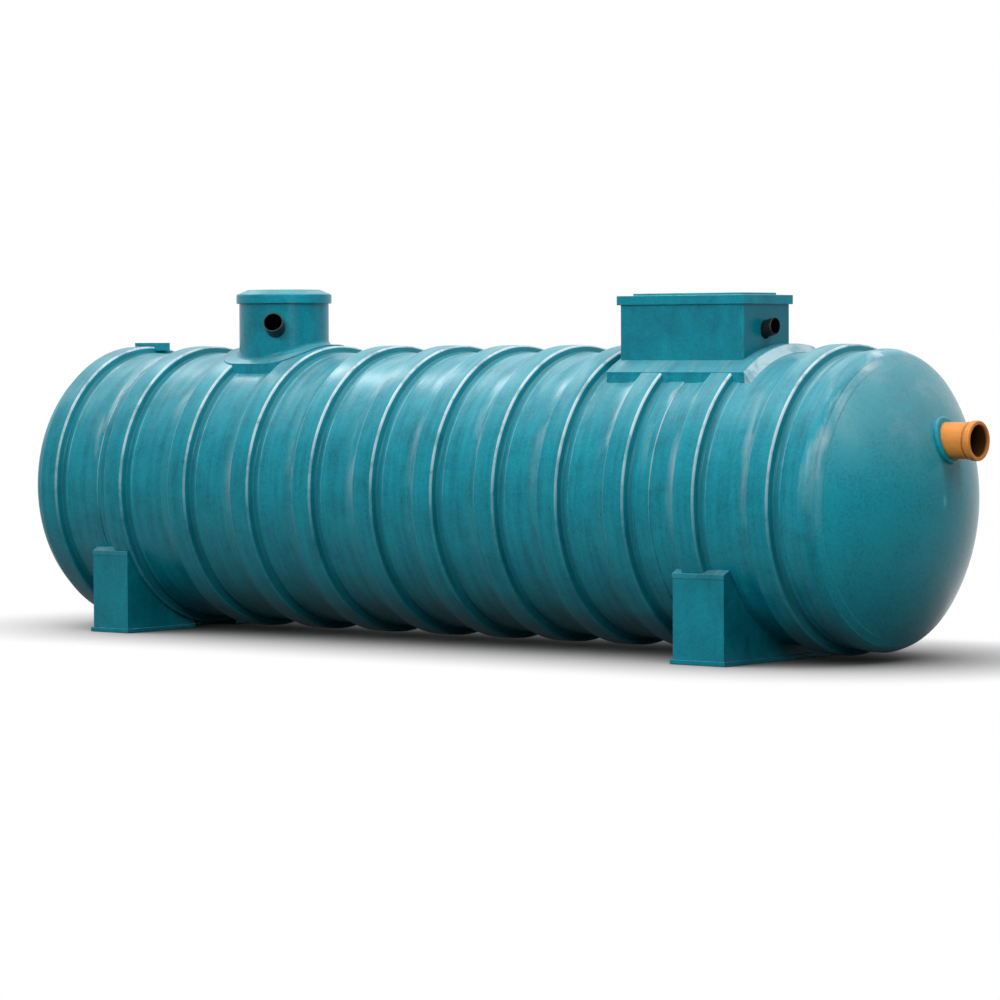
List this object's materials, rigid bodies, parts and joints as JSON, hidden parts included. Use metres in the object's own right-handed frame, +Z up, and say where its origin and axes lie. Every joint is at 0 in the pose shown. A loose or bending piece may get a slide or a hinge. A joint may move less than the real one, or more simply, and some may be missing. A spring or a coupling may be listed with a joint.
{
  "type": "underground water tank",
  "caption": "Horizontal ribbed laminate water tank with dished ends, a round and a box access turret, pipe sockets and two floor saddles.",
  "frame": {"origin": "on the floor, under the middle of the overall length", "axes": "+X along the barrel towards the inlet socket, -Y towards the front, +Z up"},
  "size_m": [6.1068, 1.59, 1.931],
  "materials": {
    "teal_laminate": "soft-gloss teal gel coat over hand-laid glass fibre",
    "orange_pipe": "satin orange-brown pipe plastic",
    "black_pipe": "satin black pipe plastic"
  },
  "bodies": {
    "root": {"far_end_dome": "teal_laminate", "inlet_end_dome": "teal_laminate", "far_lap_band": "teal_laminate", "inlet_lap_band": "teal_laminate", "dome_joint_band": "teal_laminate", "inlet_collar": "teal_laminate", "round_turret_pad": "teal_laminate", "round_turret_flare": "teal_laminate", "round_turret_neck": "teal_laminate", "round_turret_front": "teal_laminate", "round_turret_lid": "teal_laminate", "box_turret_pad": "teal_laminate", "box_turret_housing": "teal_laminate", "box_turret_end_wall": "teal_laminate", "box_turret_lid": "teal_laminate", "crown_boss": "teal_laminate", "far_saddle": "teal_laminate", "far_saddle_caps": "teal_laminate", "far_saddle_base": "teal_laminate", "inlet_saddle": "teal_laminate", "inlet_saddle_caps": "teal_laminate", "inlet_saddle_base": "teal_laminate", "barrel_course_1": "teal_laminate", "barrel_course_2": "teal_laminate", "barrel_course_3": "teal_laminate", "barrel_course_4": "teal_laminate", "barrel_course_5": "teal_laminate", "hoop_rib_01": "teal_laminate", "hoop_rib_02": "teal_laminate", "hoop_rib_03": "teal_laminate", "hoop_rib_04": "teal_laminate", "hoop_rib_05": "teal_laminate", "hoop_rib_06": "teal_laminate", "hoop_rib_07": "teal_laminate", "hoop_rib_08": "teal_laminate", "hoop_rib_09": "teal_laminate", "hoop_rib_10": "teal_laminate", "hoop_rib_11": "teal_laminate", "hoop_rib_12": "teal_laminate", "inlet_socket": "orange_pipe", "round_turret_spigot": "black_pipe", "box_turret_spigot": "black_pipe"}
  },
  "joints": []
}
